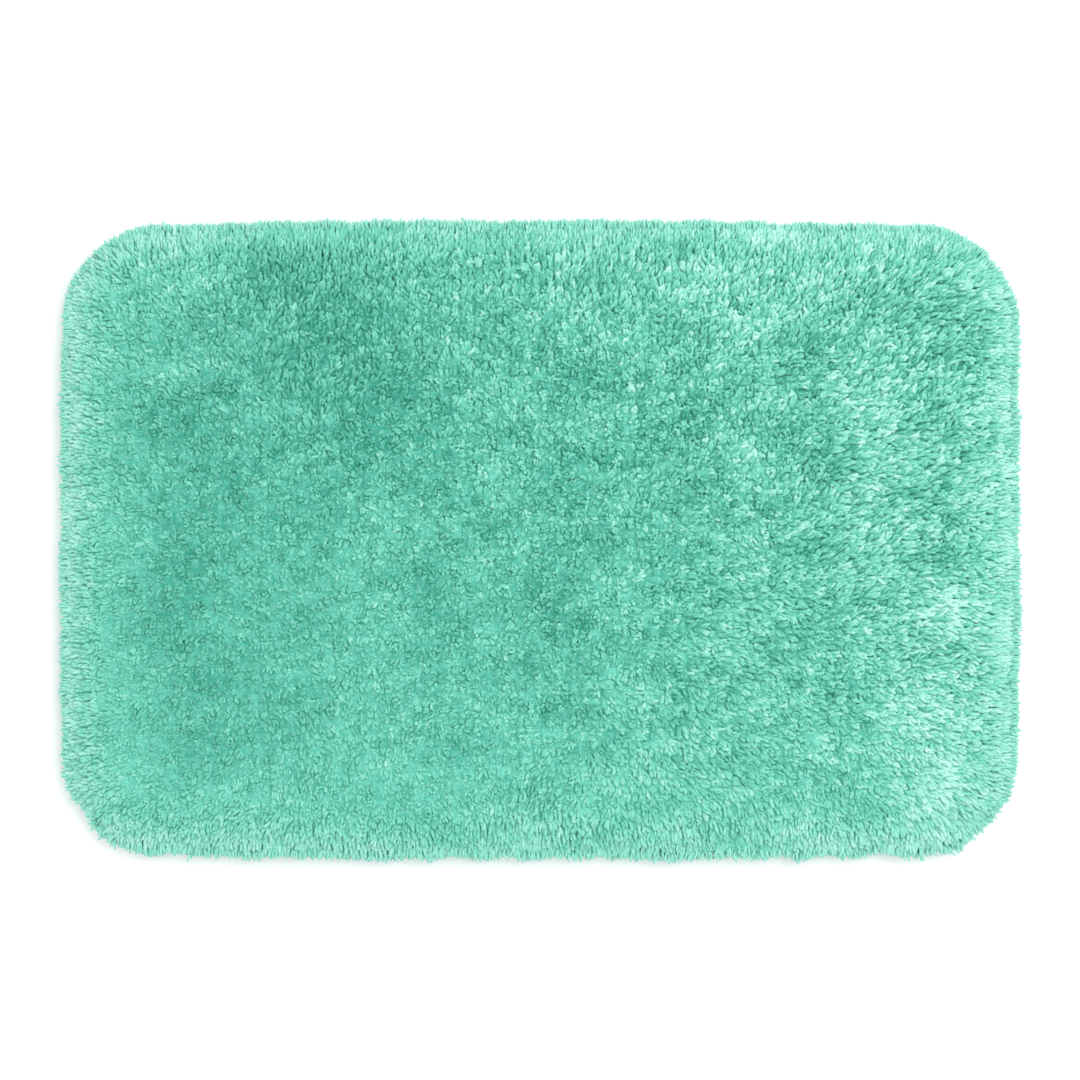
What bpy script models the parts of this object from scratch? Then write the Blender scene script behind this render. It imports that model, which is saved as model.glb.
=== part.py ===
"""Tufted plush bath mat, built up in layers from the floor. Metres, +Z up, +X along the long side.

The origin is on the floor under the middle of the mat. Every layer follows one outline, the cut
edge of the primary cloth: a ring's "offset" is how far it lies outside that edge, and its corner
radius grows or shrinks by the same amount.
"""

import bmesh
import bpy
import numpy as np

# Overall size, over the tips of the pile
MAT_LENGTH = 0.900
MAT_WIDTH = 0.600
PILE_HEIGHT = 0.0272  # standing on the primary cloth

# Outline
CLOTH_CORNER_RADIUS = 0.072
LONG_SIDE_BOW = 0.006  # how far the middle of a long side stands out past its ends
SHORT_SIDE_BOW = 0.004
CORNER_SEGMENTS = 12
LONG_SIDE_SEGMENTS = 12
SHORT_SIDE_SEGMENTS = 8

# Pile
PILE_OVERHANG = 0.011  # past the cut edge of the cloth, all round
PILE_SHOULDER = 0.020  # radius of the round shoulder at the top of the edge
PILE_SKIRT_CLEARANCE = 0.0022  # from the floor to the hanging tips
PILE_SKIRT_TUCK = 0.0035  # how far the hanging tips draw back in at the bottom
SHOULDER_SEGMENTS = 5

# Layers
PRIMARY_THICKNESS = 0.0008
PRECOAT_THICKNESS = 0.0010
PRECOAT_INSET = 0.0005  # the coat stops just short of the cut edge

# Binding tape and its seam
TAPE_THICKNESS = 0.0007
TAPE_LEG = 0.0110  # how far the tape reaches in over and under the cloth
TAPE_END_GAP = 0.0010  # between the tape's two butted ends
FOLD_SEGMENTS = 3
SEAM_INSET = 0.0070  # from the cut edge in to the line of stitches
THREAD_DIAMETER = 0.0005
THREAD_SIDES = 6

# Non-slip backing
BACKING_STAND = 0.0003  # how far it stands proud of the seam beside it, so that it meets the floor
BACKING_TAPE_GAP = 0.0010
BACKING_EDGE_ROUND = 0.0006

# Care label, caught under the tape on the front long side
LABEL_WIDTH = 0.034
LABEL_FREE_LENGTH = 0.040
LABEL_CAUGHT = 0.009
LABEL_THICKNESS = 0.0003
LABEL_CENTRE_X = 0.300
LABEL_CLEARANCE = 0.0015  # round the label, in the notch of the backing

GAP = 0.0003  # between pieces that touch

# The cloth's straight-sided outline, before its sides are bowed
CLOTH_LENGTH = MAT_LENGTH - 2 * (PILE_OVERHANG + SHORT_SIDE_BOW)
CLOTH_WIDTH = MAT_WIDTH - 2 * (PILE_OVERHANG + LONG_SIDE_BOW)

# Heights, from the floor up
BOBBIN_Z = BACKING_STAND + THREAD_DIAMETER / 2
LOWER_LEG_Z = BOBBIN_Z + THREAD_DIAMETER / 2 + GAP
LABEL_Z = LOWER_LEG_Z + TAPE_THICKNESS + GAP
PRECOAT_Z = LABEL_Z + LABEL_THICKNESS + GAP
BACKING_TOP = PRECOAT_Z - GAP
PRIMARY_Z = PRECOAT_Z + PRECOAT_THICKNESS + GAP
PRIMARY_TOP = PRIMARY_Z + PRIMARY_THICKNESS
UPPER_LEG_Z = PRIMARY_TOP + GAP
UPPER_LEG_TOP = UPPER_LEG_Z + TAPE_THICKNESS
NEEDLE_Z = UPPER_LEG_TOP + GAP + THREAD_DIAMETER / 2
PILE_TOP = PRIMARY_TOP + PILE_HEIGHT


def bowed(x, y):
    """Points (x, y) moved outwards so that each side bows: by the most at the middle of the side,
    falling as a parabola to nothing at its ends, and growing evenly from the centre to the cut edge."""
    across = np.clip(2 * x / CLOTH_LENGTH, -1, 1)
    along = np.clip(2 * y / CLOTH_WIDTH, -1, 1)
    return x + SHORT_SIDE_BOW * across * (1 - along**2), y + LONG_SIDE_BOW * along * (1 - across**2)


def edge_line(offset, end_gap=0.0):
    """The outline at this offset, anticlockwise from the middle of the back long side, as rows of
    (x, y): four quarter circles joined by straight runs. With end_gap it is an open line whose ends
    lie that far apart, across the middle of the back side."""
    half_length, half_width = CLOTH_LENGTH / 2 + offset, CLOTH_WIDTH / 2 + offset
    radius = CLOTH_CORNER_RADIUS + offset
    turn = np.linspace(0, np.pi / 2, CORNER_SEGMENTS + 1)
    side_steps = {0: SHORT_SIDE_SEGMENTS, 1: LONG_SIDE_SEGMENTS}
    start = np.array([[-end_gap / 2, half_width]])
    points = [start]
    for corner in range(1, 5):
        centre = np.array(
            [
                (half_length - radius) * (1 if corner in (3, 4) else -1),
                (half_width - radius) * (1 if corner in (1, 4) else -1),
            ]
        )
        angle = corner * np.pi / 2 + turn
        arc = centre + radius * np.stack([np.cos(angle), np.sin(angle)], axis=1)
        steps = side_steps[corner % 2] // (2 if corner == 1 else 1)
        share = np.linspace(0, 1, steps + 1)[1:-1, None]
        points += [points[-1][-1] * (1 - share) + arc[0] * share, arc]
    last = np.array([[end_gap / 2, half_width]])
    share = np.linspace(0, 1, LONG_SIDE_SEGMENTS // 2 + 1)[1:-1, None]
    points.append(points[-1][-1] * (1 - share) + last * share)
    if end_gap:
        points.append(last)
    line = np.concatenate(points)
    return np.stack(bowed(line[:, 0], line[:, 1]), axis=1)


def linear(code):
    """An sRGB hex colour as the linear red, green, blue and alpha that a shader takes."""
    srgb = np.array([int(code[i : i + 2], 16) for i in (0, 2, 4)]) / 255
    low, high = srgb / 12.92, ((srgb + 0.055) / 1.055) ** 2.4
    return (*np.where(srgb <= 0.04045, low, high), 1.0)


def material(name, colour, roughness):
    made = bpy.data.materials.new(name)
    made.use_nodes = True
    shader = made.node_tree.nodes["Principled BSDF"]
    shader.inputs["Base Color"].default_value = linear(colour)
    shader.inputs["Roughness"].default_value = roughness
    shader.inputs["Metallic"].default_value = 0.0
    return made


def add_object(name, mesh, finish, parent):
    mesh.materials.append(finish)
    piece = bpy.data.objects.new(name, mesh)
    piece.parent = parent
    bpy.context.scene.collection.objects.link(piece)
    return piece


def swept(name, profile, finish, parent, end_gap=0.0):
    """A closed profile of (offset, height) corners, carried round the outline. Without end_gap it is
    a closed ring, and with it a strip whose two ends are capped."""
    rows = []
    for offset, height in profile:
        line = edge_line(offset, end_gap)
        rows.append(np.column_stack([line, np.full(len(line), height)]))
    rows = np.array(rows)
    corners, stations = rows.shape[:2]
    index = np.arange(corners * stations).reshape(corners, stations)
    faces = []
    for station in range(stations if not end_gap else stations - 1):
        after = (station + 1) % stations
        for corner in range(corners):
            ahead = (corner + 1) % corners
            here, there = index[:, station], index[:, after]
            faces.append([here[corner], here[ahead], there[ahead], there[corner]])
    if end_gap:
        faces += [index[::-1, 0].tolist(), index[:, -1].tolist()]
    return closed_mesh(name, rows.reshape(-1, 3), faces, finish, parent)


def stacked(name, rings, finish, parent):
    """A solid plate from rings of (offset, height), lowest first, each joined to the next, with the
    first and the last filled."""
    rows = []
    for offset, height in rings:
        line = edge_line(offset)
        rows.append(np.column_stack([line, np.full(len(line), height)]))
    rows = np.array(rows)
    levels, stations = rows.shape[:2]
    index = np.arange(levels * stations).reshape(levels, stations)
    faces = [index[0, ::-1].tolist(), index[-1].tolist()]
    for lower, upper in zip(index, index[1:]):
        for station in range(stations):
            after = (station + 1) % stations
            faces.append([lower[station], lower[after], upper[after], upper[station]])
    return closed_mesh(name, rows.reshape(-1, 3), faces, finish, parent)


def closed_mesh(name, points, faces, finish, parent):
    """One closed solid with its faces turned outwards and its gentle edges shaded smooth."""
    mesh = bpy.data.meshes.new(name)
    mesh.from_pydata(points.tolist(), [], [[int(v) for v in face] for face in faces])
    work = bmesh.new()
    work.from_mesh(mesh)
    bmesh.ops.recalc_face_normals(work, faces=work.faces)
    if work.calc_volume(signed=True) < 0:
        bmesh.ops.reverse_faces(work, faces=work.faces)
    work.to_mesh(mesh)
    work.free()
    mesh.shade_smooth()
    mesh.set_sharp_from_angle(angle=np.radians(35))
    return add_object(name, mesh, finish, parent)


def make_pile(parent):
    """The tufted yarn as one soft slab: flat underneath on the cloth, stepped up over the tape and
    its seam, and hanging down outside the tape, with a round shoulder."""
    under_tape = -(TAPE_LEG + GAP)
    over_seam = NEEDLE_Z + THREAD_DIAMETER / 2 + GAP
    outside_tape = GAP + TAPE_THICKNESS + GAP
    rings = [
        (under_tape, PRIMARY_TOP + GAP),
        (under_tape, over_seam),
        (outside_tape, over_seam),
        (outside_tape, PILE_SKIRT_CLEARANCE),
        (PILE_OVERHANG - PILE_SKIRT_TUCK, PILE_SKIRT_CLEARANCE),
    ]
    for angle in np.linspace(0, np.pi / 2, SHOULDER_SEGMENTS + 1):
        rings.append(
            (
                PILE_OVERHANG - PILE_SHOULDER * (1 - np.cos(angle)),
                PILE_TOP - PILE_SHOULDER * (1 - np.sin(angle)),
            )
        )
    return stacked("pile", rings, material("plush_yarn", "71CDB5", 0.9), parent)


def make_primary_backing(parent):
    rings = [(0.0, PRIMARY_Z), (0.0, PRIMARY_TOP)]
    return stacked("primary_backing", rings, material("woven_cloth", "CFE3DC", 0.85), parent)


def make_latex_precoat(parent):
    rings = [(-PRECOAT_INSET, PRECOAT_Z), (-PRECOAT_INSET, PRECOAT_Z + PRECOAT_THICKNESS)]
    return stacked("latex_precoat", rings, material("latex", "E9E6D8", 0.6), parent)


def label_box(margin, bottom, top):
    """The eight corners of the label's space in (x, y, z), widened by margin on its free sides. Its
    caught end lies under the tape, and so follows the bow of that side at the label's centre."""
    edge = bowed(np.array(LABEL_CENTRE_X), np.array(-CLOTH_WIDTH / 2))[1]
    caught = edge + TAPE_LEG - LABEL_CAUGHT
    free = edge + TAPE_LEG + LABEL_FREE_LENGTH + margin
    left, right = (LABEL_CENTRE_X + side * (LABEL_WIDTH / 2 + margin) for side in (-1, 1))
    plan = [(left, caught), (right, caught), (right, free), (left, free)]
    return [(x, y, z) for z in (bottom, top) for x, y in plan]


def box_mesh(name, corners, finish, parent):
    faces = [[3, 2, 1, 0], [4, 5, 6, 7], [0, 1, 5, 4], [1, 2, 6, 5], [2, 3, 7, 6], [3, 0, 4, 7]]
    return closed_mesh(name, np.array(corners), faces, finish, parent)


def make_nonslip_backing(parent):
    """The rubber-like sheet inside the tape, with rounded lower and upper edges and a notch in the
    front side for the care label."""
    edge = -(TAPE_LEG + BACKING_TAPE_GAP)
    rings = [
        (edge - BACKING_EDGE_ROUND, 0.0),
        (edge, BACKING_EDGE_ROUND),
        (edge, BACKING_TOP),
    ]
    backing = stacked("nonslip_backing", rings, material("thermoplastic_rubber", "DDEBE6", 0.7), parent)
    corners = label_box(LABEL_CLEARANCE, -BACKING_TOP, 2 * BACKING_TOP)
    cutter = box_mesh("label_notch", corners, material("cutter", "808080", 0.5), parent)
    cutter.hide_render = True
    cutter.display_type = "WIRE"
    notch = backing.modifiers.new("label_notch", "BOOLEAN")
    notch.operation = "DIFFERENCE"
    notch.object = cutter
    return backing


def make_edge_binding(parent):
    """The tape in section: an upper leg on the cloth, a web round the cut edge with two rounded
    folds, and a lower leg under the coat."""
    inner, outer = GAP, GAP + TAPE_THICKNESS
    lower_top = LOWER_LEG_Z + TAPE_THICKNESS
    turn = np.linspace(0, np.pi / 2, FOLD_SEGMENTS + 1)
    profile = [(-TAPE_LEG, LOWER_LEG_Z)]
    profile += [
        (inner + TAPE_THICKNESS * np.sin(a), lower_top - TAPE_THICKNESS * np.cos(a)) for a in turn
    ]
    profile += [
        (inner + TAPE_THICKNESS * np.cos(a), UPPER_LEG_Z + TAPE_THICKNESS * np.sin(a)) for a in turn
    ]
    profile += [
        (-TAPE_LEG, UPPER_LEG_TOP),
        (-TAPE_LEG, UPPER_LEG_Z),
        (outer - TAPE_THICKNESS, UPPER_LEG_Z),
        (outer - TAPE_THICKNESS, lower_top),
        (-TAPE_LEG, lower_top),
    ]
    tape = material("polyester_tape", "6FC3AD", 0.8)
    return swept("edge_binding", profile, tape, parent, TAPE_END_GAP)


def make_seam_thread(name, height, parent):
    """One thread of the lockstitch, as a cord of round section along the line of stitches."""
    turn = np.arange(THREAD_SIDES) * 2 * np.pi / THREAD_SIDES + np.pi / THREAD_SIDES
    radius = THREAD_DIAMETER / 2
    profile = [(-SEAM_INSET + radius * np.cos(a), height + radius * np.sin(a)) for a in turn]
    return swept(name, profile, material("polyester_thread", "8AD6C2", 0.6), parent)


def make_care_label(parent):
    corners = label_box(0.0, LABEL_Z, LABEL_Z + LABEL_THICKNESS)
    return box_mesh("care_label", corners, material("label_satin", "F2F4F1", 0.55), parent)


def main():
    for old in list(bpy.data.objects):
        bpy.data.objects.remove(old, do_unlink=True)
    mat = bpy.data.objects.new("bath_mat", None)
    bpy.context.scene.collection.objects.link(mat)
    make_nonslip_backing(mat)
    make_latex_precoat(mat)
    make_primary_backing(mat)
    make_edge_binding(mat)
    make_seam_thread("binding_needle_thread", NEEDLE_Z, mat)
    make_seam_thread("binding_bobbin_thread", BOBBIN_Z, mat)
    make_care_label(mat)
    make_pile(mat)


main()
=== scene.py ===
"""The looks of a tufted plush bath mat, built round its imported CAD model. Metres, +Z up.

The pile is made as real tufts: one tapered, bent yarn end for each end of a cut loop, combed by a
field of brush strokes. Under it lie the woven cloth, the coats, the bound edge and its stitches.
"""

import bmesh
import bpy
import numpy as np
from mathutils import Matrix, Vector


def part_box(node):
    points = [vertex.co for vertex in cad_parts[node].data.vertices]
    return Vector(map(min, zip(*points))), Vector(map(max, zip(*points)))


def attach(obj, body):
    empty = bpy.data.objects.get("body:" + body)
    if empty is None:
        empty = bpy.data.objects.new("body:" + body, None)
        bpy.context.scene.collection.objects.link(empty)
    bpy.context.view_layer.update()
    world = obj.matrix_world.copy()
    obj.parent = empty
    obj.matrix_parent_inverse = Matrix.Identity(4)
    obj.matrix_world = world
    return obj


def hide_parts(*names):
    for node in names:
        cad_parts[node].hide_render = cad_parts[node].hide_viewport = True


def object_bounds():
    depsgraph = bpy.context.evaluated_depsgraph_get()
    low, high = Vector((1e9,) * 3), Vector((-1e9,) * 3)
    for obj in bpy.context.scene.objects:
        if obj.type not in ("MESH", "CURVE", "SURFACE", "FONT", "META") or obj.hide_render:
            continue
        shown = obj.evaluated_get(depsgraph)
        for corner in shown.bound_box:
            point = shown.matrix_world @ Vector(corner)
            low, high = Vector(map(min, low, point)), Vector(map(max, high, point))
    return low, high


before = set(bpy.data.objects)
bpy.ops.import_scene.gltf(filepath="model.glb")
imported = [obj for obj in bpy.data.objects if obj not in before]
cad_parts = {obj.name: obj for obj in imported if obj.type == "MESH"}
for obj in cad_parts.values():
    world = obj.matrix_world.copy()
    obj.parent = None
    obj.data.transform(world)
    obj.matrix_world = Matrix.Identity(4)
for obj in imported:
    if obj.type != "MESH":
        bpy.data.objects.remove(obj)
cad_low, cad_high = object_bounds()

# ---------------------------------------------------------------- sizes, in metres

CLOTH_CORNER_RADIUS = 0.072
LONG_SIDE_BOW = 0.006
SHORT_SIDE_BOW = 0.004
EDGE_POINTS = 480  # points round the mat on a layer's outline

cloth_low, cloth_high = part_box("primary_backing")
tape_low, tape_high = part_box("edge_binding")
coat_low, coat_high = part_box("latex_precoat")
label_low, label_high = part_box("care_label")
GRIP_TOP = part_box("nonslip_backing")[1].z
CLOTH_TOP = cloth_high.z
CLOTH_LENGTH = cloth_high.x - cloth_low.x - 2 * SHORT_SIDE_BOW
CLOTH_WIDTH = cloth_high.y - cloth_low.y - 2 * LONG_SIDE_BOW
PILE_TOP = cad_high.z

# Bound edge
TAPE_THICKNESS = 0.0007
TAPE_LEG = 0.0110  # how far the tape reaches in over and under the cloth
TAPE_CLEARANCE = 0.0003  # between the cut edge and the tape's web
TAPE_END_GAP = 0.0010  # between its two butted ends, at the middle of the back
SEAM_INSET = 0.0070
STITCH_LENGTH = 0.0040
THREAD_RADIUS = 0.00025

# Yarn
PILE_OVERHANG = tape_low.x - cad_low.x + TAPE_CLEARANCE + TAPE_THICKNESS  # past the cut edge
PILE_DEPTH = PILE_TOP - CLOTH_TOP
TUFT_SPACING = 0.00300
YARN_RADIUS = 0.00215
YARN_CRIMP = 0.0007
MOST_TRIANGLES = 195000  # in one band of the pile
SEED = 11

# Coat, non-slip backing and label
COAT_INSET = 0.0005  # of the latex from the cut edge
GRIP_INSET = TAPE_LEG + 0.0010  # of the rubber from the cut edge, clear of the tape's leg
DOT_PITCH = 0.0160
DOT_RADIUS = 0.0026
DOT_HEIGHT = 0.0008
LABEL_CLEARANCE = 0.0015


# ---------------------------------------------------------------- the outline


def bowed(points):
    """Points moved outwards so that each side bows: by the most at the middle of the side, falling
    as a parabola to nothing at its ends, and growing evenly from the centre to the cut edge."""
    across = np.clip(2 * points[..., 0] / CLOTH_LENGTH, -1, 1)
    along = np.clip(2 * points[..., 1] / CLOTH_WIDTH, -1, 1)
    moved = points.copy()
    moved[..., 0] += SHORT_SIDE_BOW * across * (1 - along**2)
    moved[..., 1] += LONG_SIDE_BOW * along * (1 - across**2)
    return moved


def edge_distance(x, y):
    """How far each point lies outside the straight-sided cut edge (negative inside), and the unit
    direction out from it: the distance to a rectangle with quarter-circle corners, and a direction
    that swings round from one side's to the next within a soft band along the diagonals."""
    reach_x = CLOTH_LENGTH / 2 - CLOTH_CORNER_RADIUS
    reach_y = CLOTH_WIDTH / 2 - CLOTH_CORNER_RADIUS
    over_x, over_y = np.abs(x) - reach_x, np.abs(y) - reach_y
    corner_x, corner_y = np.maximum(over_x, 0), np.maximum(over_y, 0)
    distance = np.hypot(corner_x, corner_y) + np.minimum(np.maximum(over_x, over_y), 0)
    soft = 0.020
    pull_x = np.exp(np.minimum(over_x, 0) / soft) + np.maximum(over_x, 0) / soft
    pull_y = np.exp(np.minimum(over_y, 0) / soft) + np.maximum(over_y, 0) / soft
    out = np.stack([np.sign(x) * pull_x**2, np.sign(y) * pull_y**2], axis=-1)
    out /= np.linalg.norm(out, axis=-1, keepdims=True) + 1e-9
    return distance - CLOTH_CORNER_RADIUS, out


def edge_walk(place):
    """Points on the cut edge before it is bowed, a rectangle with quarter-circle corners, and the
    direction straight out at each. place runs from 0, at the middle of the back, anticlockwise
    round to 1."""
    radius = CLOTH_CORNER_RADIUS
    flat_x, flat_y = CLOTH_LENGTH / 2 - radius, CLOTH_WIDTH / 2 - radius
    bend = np.pi / 2 * radius
    ends = np.cumsum([0, 2 * flat_y, bend, 2 * flat_x, bend, 2 * flat_y, bend, 2 * flat_x, bend])
    run = (place * ends[-1] + 2 * flat_y + bend + flat_x) % ends[-1]
    part = np.searchsorted(ends, run, side="right") - 1
    share = (run - ends[part]) / (ends[part + 1] - ends[part])
    turn = (part // 2 + np.where(part % 2, share, 0)) * np.pi / 2
    out = np.stack([np.cos(turn), np.sin(turn)], axis=1)
    corners = np.array([[1, -1], [1, 1], [-1, 1], [-1, -1]])
    before, after = corners[part // 2], corners[(part // 2 + 1) % 4]
    centre = before + (after - before) * np.where(part % 2, 1.0, share)[:, None]
    return centre * (flat_x, flat_y) + radius * out, out


EDGE_LENGTH = 2 * (CLOTH_LENGTH + CLOTH_WIDTH) - (8 - 2 * np.pi) * CLOTH_CORNER_RADIUS


def edge_loop(offset, count):
    """The cut edge moved outwards by offset and bowed: count points."""
    edge, out = edge_walk((np.arange(count) + 0.5) / count)
    return bowed(edge + offset * out)


# ---------------------------------------------------------------- the comb field

# Each stroke of the brush: where it passes (x, y), how far it reaches, its heading in degrees
# anticlockwise from +X, how hard it lays the pile over, and its painted light: how much paler (painted
# highlight) or deeper (painted shade) it leaves the yarn's colour.
BRUSH_STROKES_AND_PAINTED_LIGHT = {
    "back left sweep": (-0.210, 0.235, 0.100, 50, 0.60, -0.16),
    "left of the middle, brushed back": (-0.160, 0.130, 0.095, 78, 0.35, -0.22),
    "left shoulder": (-0.320, 0.110, 0.080, 70, 0.25, -0.17),
    "left fan": (-0.210, 0.020, 0.070, 40, 0.45, -0.07),
    "middle fan": (-0.105, 0.035, 0.050, -10, 0.35, 0.01),
    "middle parting": (-0.105, -0.050, 0.040, 90, 0.10, -0.06),
    "footprint in the middle": (0.005, -0.065, 0.060, 95, 0.30, -0.10),
    "right of the middle": (0.065, 0.065, 0.075, 98, 0.40, -0.05),
    "back middle": (0.055, 0.235, 0.070, 70, 0.50, -0.06),
    "back edge, turned left": (-0.040, 0.245, 0.045, 130, 0.40, -0.08),
    "back right, fluffed": (0.215, 0.235, 0.080, 62, 0.50, 0.08),
    "back right corner": (0.395, 0.225, 0.080, 18, 0.60, -0.12),
    "right half, upright": (0.150, 0.120, 0.080, 90, 0.15, -0.05),
    "right sweep": (0.320, 0.095, 0.090, 28, 0.65, 0.03),
    "right middle": (0.290, 0.000, 0.100, 20, 0.70, -0.06),
    "right of the footprint": (0.180, -0.095, 0.090, 8, 0.60, -0.02),
    "right rim": (0.375, -0.095, 0.090, 8, 0.65, 0.08),
    "front right sweep": (0.190, -0.210, 0.100, -40, 0.65, 0.00),
    "front middle, turned right": (0.075, -0.230, 0.050, -65, 0.60, 0.03),
    "front middle, turned left": (-0.010, -0.235, 0.050, 235, 0.60, -0.04),
    "front right corner": (0.370, -0.220, 0.080, -20, 0.60, 0.13),
    "front left sweep": (-0.230, -0.145, 0.070, -45, 0.50, -0.06),
    "front left, brushed forward": (-0.210, -0.200, 0.050, -65, 0.50, 0.00),
    "front left corner": (-0.295, -0.235, 0.060, 200, 0.35, 0.02),
    "left front, turned in": (-0.360, -0.075, 0.050, -45, 0.30, -0.12),
    "front, left of the middle": (-0.125, -0.220, 0.060, -12, 0.30, 0.00),
    # Painted highlights: small paler patches that stand in for the gloss of yarn lying flat
    "painted highlight, back right": (0.150, 0.222, 0.035, 60, 0.15, 0.13),
    "painted highlight, back, far right": (0.250, 0.215, 0.030, 50, 0.15, 0.08),
    "painted highlight, right sweep": (0.318, 0.130, 0.035, 30, 0.15, 0.15),
    "painted highlight, right of the middle": (0.195, 0.070, 0.022, 75, 0.10, 0.14),
    "painted highlight, right middle": (0.240, 0.010, 0.022, 30, 0.10, 0.10),
    "painted highlight, right rim": (0.372, -0.062, 0.026, 12, 0.15, 0.26),
    "painted highlight, front right": (0.336, -0.165, 0.026, -5, 0.15, 0.26),
    "painted highlight, front right corner": (0.380, -0.212, 0.020, -25, 0.10, 0.20),
    # Painted shade: small darker patches that stand in for the shade inside partings of the pile
    "painted shade in a hollow, back left": (-0.319, 0.206, 0.013, 60, 0.10, -0.26),
    "painted shade in a hollow, left of the middle": (-0.225, 0.150, 0.016, 85, 0.10, -0.20),
    "painted shade in a hollow, back right": (0.098, 0.232, 0.014, 80, 0.10, -0.24),
    "painted shade in a hollow, left of the fan": (-0.285, 0.040, 0.016, 60, 0.10, -0.16),
    "painted shade in a hollow, front of the footprint": (-0.009, -0.112, 0.014, 100, 0.10, -0.22),
    "painted shade in a hollow, in the parting": (-0.102, -0.046, 0.012, 90, 0.05, -0.20),
    "painted shade in a hollow, right sweep": (0.272, 0.062, 0.014, 20, 0.10, -0.18),
    # Broad painted shade, with next to no lean
    "left side, one hand's breadth in": (-0.320, -0.020, 0.070, 60, 0.05, -0.15),
    "front left, one hand's breadth in": (-0.300, -0.160, 0.080, -30, 0.05, -0.16),
    "back left, second sweep": (-0.215, 0.245, 0.080, 60, 0.10, -0.14),
}


def ripple(x, y, wavelength, draws, waves=7):
    """A smooth random height from -1 to 1: the mean of plane waves of nearly one wavelength, each
    with its own direction and phase."""
    total = np.zeros_like(x)
    for _ in range(waves):
        turn, phase, stretch = draws.uniform(0, 1, 3) * (2 * np.pi, 2 * np.pi, 0.7) + (0, 0, 0.7)
        ahead = x * np.cos(turn) + y * np.sin(turn)
        total += np.sin(2 * np.pi * stretch / wavelength * ahead + phase)
    return total / np.sqrt(waves / 2) / 2


FAN_OUT = 0.25  # the lean outwards that the pile has of itself at the middle of each side
STROKE_SHARE = 0.62  # of a stroke's strength, what is left once the yarn has sprung back
STROKE_BELL = 0.6  # of a stroke's reach, the width of its bell-shaped edge
LEAN_WAVES = ((0.150, 0.14), (0.060, 0.12), (0.030, 0.07))  # (wavelength, lean) of random waves
RIM_REACH = 0.024  # how far in from the edge the rim's pull is felt


def comb_field(x, y, draws):
    """How the pile leans at each point, as a flat vector whose length is 0 for upright yarn and 1
    for yarn laid flat: a slight fan out from the middle, the brush strokes with bell-shaped edges,
    smooth random waves, and a pull straight out over the rim. Also each point's nearness to the
    rim, from 0 to 1, and its shade: the strokes' painted light and painted shade added up, with
    streaks along the mat, and a painted highlight where the yarn lies over."""
    depth, out = edge_distance(x, y)
    lean = FAN_OUT * np.stack([2 * x / CLOTH_LENGTH, 2 * y / CLOTH_WIDTH], axis=-1)
    shade = np.zeros_like(x)
    # The last number of each stroke is painted light and painted shade added to the colour
    for at_x, at_y, reach, heading, strength, paler in BRUSH_STROKES_AND_PAINTED_LIGHT.values():
        bell = np.exp(-((x - at_x) ** 2 + (y - at_y) ** 2) / (2 * (STROKE_BELL * reach) ** 2))
        angle = np.radians(heading)
        lean += STROKE_SHARE * strength * bell[:, None] * np.array([np.cos(angle), np.sin(angle)])
        shade += paler * bell
    for wavelength, strength in LEAN_WAVES:
        lean += strength * np.stack(
            [ripple(x, y, wavelength, draws), ripple(x, y, wavelength, draws)], axis=-1
        )
    rim = np.exp(np.minimum(depth, 0) / RIM_REACH)
    lean = lean * (1 - 0.75 * rim[:, None]) + out * rim[:, None]
    # Streaks, stronger on the right, and broad and fine patches, at random; then painted light from
    # the lean: a painted highlight where the yarn lies over, painted shade where it stands up
    streaks = 0.06 + 0.05 * np.clip(0.5 + 3 * x, 0, 1)
    shade += streaks * ripple(0.35 * x, y, 0.045, draws) + 0.06 * ripple(x, y, 0.028, draws)
    shade += 0.10 * ripple(x, y, 0.013, draws)
    shade += 0.22 * (np.minimum(np.linalg.norm(lean, axis=1), 1) - 0.4)
    return lean, rim, shade


def crispness(x, y):
    """How open the pile is, from 0, felted soft, to 1, crisp: rising evenly towards the back right,
    and falling off close to the front."""
    open_pile = np.clip(0.50 + 0.42 * x / cad_high.x + 0.30 * y / cad_high.y, 0, 1)
    return open_pile * np.clip((y + cad_high.y) / 0.12, 0.2, 1)


# ---------------------------------------------------------------- colour and material tools


def linear(code):
    """An sRGB hex colour as the linear red, green, blue and alpha that a shader takes."""
    srgb = np.array([int(code[i : i + 2], 16) for i in (0, 2, 4)]) / 255
    low, high = srgb / 12.92, ((srgb + 0.055) / 1.055) ** 2.4
    return (*np.where(srgb <= 0.04045, low, high).tolist(), 1.0)


def new_material(name):
    """A material with an empty node tree."""
    made = bpy.data.materials.new(name)
    made.use_nodes = True
    made.node_tree.nodes.clear()
    return made


def add(material, kind, inputs=None, out=0, stops=(), **settings):
    """Adds a shader node and returns its output of this name or number. inputs maps a socket's name
    or number to a value or to another node's output, stops are a colour ramp's places and hex
    colours, and settings are the node's own properties."""
    node = material.node_tree.nodes.new("ShaderNode" + kind)
    for name, value in settings.items():
        setattr(node, name, value)
    for key, value in (inputs or {}).items():
        if isinstance(value, bpy.types.NodeSocket):
            material.node_tree.links.new(value, node.inputs[key])
        else:
            node.inputs[key].default_value = value
    for number, (place, code) in enumerate(stops):
        elements = node.color_ramp.elements
        element = elements[number] if number < len(elements) else elements.new(place)
        element.position = place
        element.color = linear(code)
    return node.outputs[out] if node.outputs else None


def scale_of(size):
    """The noise scale that makes blots about size metres across."""
    return 0.5 / size


def ribs(material, coordinate, pitch):
    """Even ripples from -1 to 1 along a coordinate in metres, one every pitch."""
    phase = add(material, "Math", {0: coordinate, 1: 2 * np.pi / pitch}, operation="MULTIPLY")
    return add(material, "Math", {0: phase}, operation="SINE")


def mixed(material, first, second, share, offset=0.0):
    """first + share * (second + offset)."""
    moved = add(material, "Math", {0: second, 1: offset}, operation="ADD")
    return add(material, "Math", {0: moved, 1: share, 2: first}, operation="MULTIPLY_ADD")


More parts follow.
